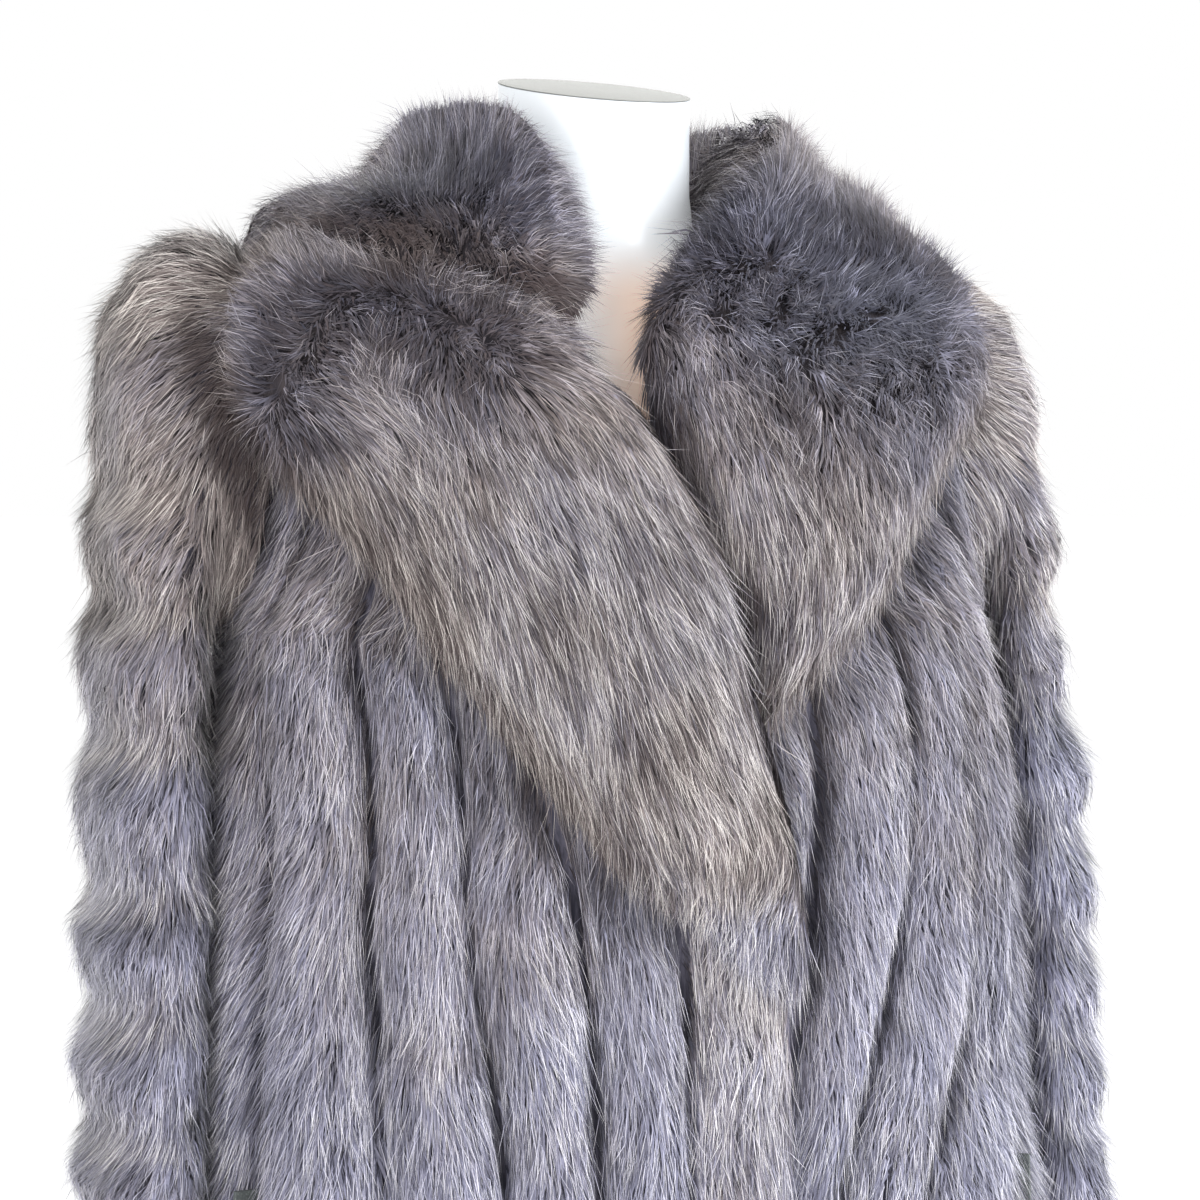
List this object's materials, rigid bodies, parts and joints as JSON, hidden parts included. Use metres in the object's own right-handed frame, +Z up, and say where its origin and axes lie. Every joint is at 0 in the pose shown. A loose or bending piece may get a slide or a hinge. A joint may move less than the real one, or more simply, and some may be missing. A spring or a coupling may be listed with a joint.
{
  "type": "fur coat on a limbless dress form",
  "caption": "Long open-necked coat of long-haired fur with a wide shawl collar, worn by a white dress form on a round base.",
  "frame": {"origin": "middle of the underside of the stand's base, on the floor", "axes": "+Z up along the pole, -Y the front of the coat, +X the wearer's left"},
  "size_m": [0.6103, 0.3987, 1.4698],
  "materials": {
    "strip_fur": "long lavender-grey fur let in as vertical strips",
    "collar_fur": "dense taupe fur",
    "sleeve_fur": "long lavender-grey fur let in as tiers round the arm",
    "welt_leather": "matte",
    "form_gloss": "gloss white",
    "form_cap": "satin light grey",
    "stand_steel": "brushed"
  },
  "bodies": {
    "root": {"front_right": "strip_fur", "front_left": "strip_fur", "back": "strip_fur", "collar": "collar_fur", "sleeve_right": "sleeve_fur", "sleeve_left": "sleeve_fur", "pocket_welt_right": "welt_leather", "pocket_welt_left": "welt_leather", "form_torso": "form_gloss", "form_neck_cap": "form_cap", "form_pole": "stand_steel", "form_base": "stand_steel"}
  },
  "joints": []
}
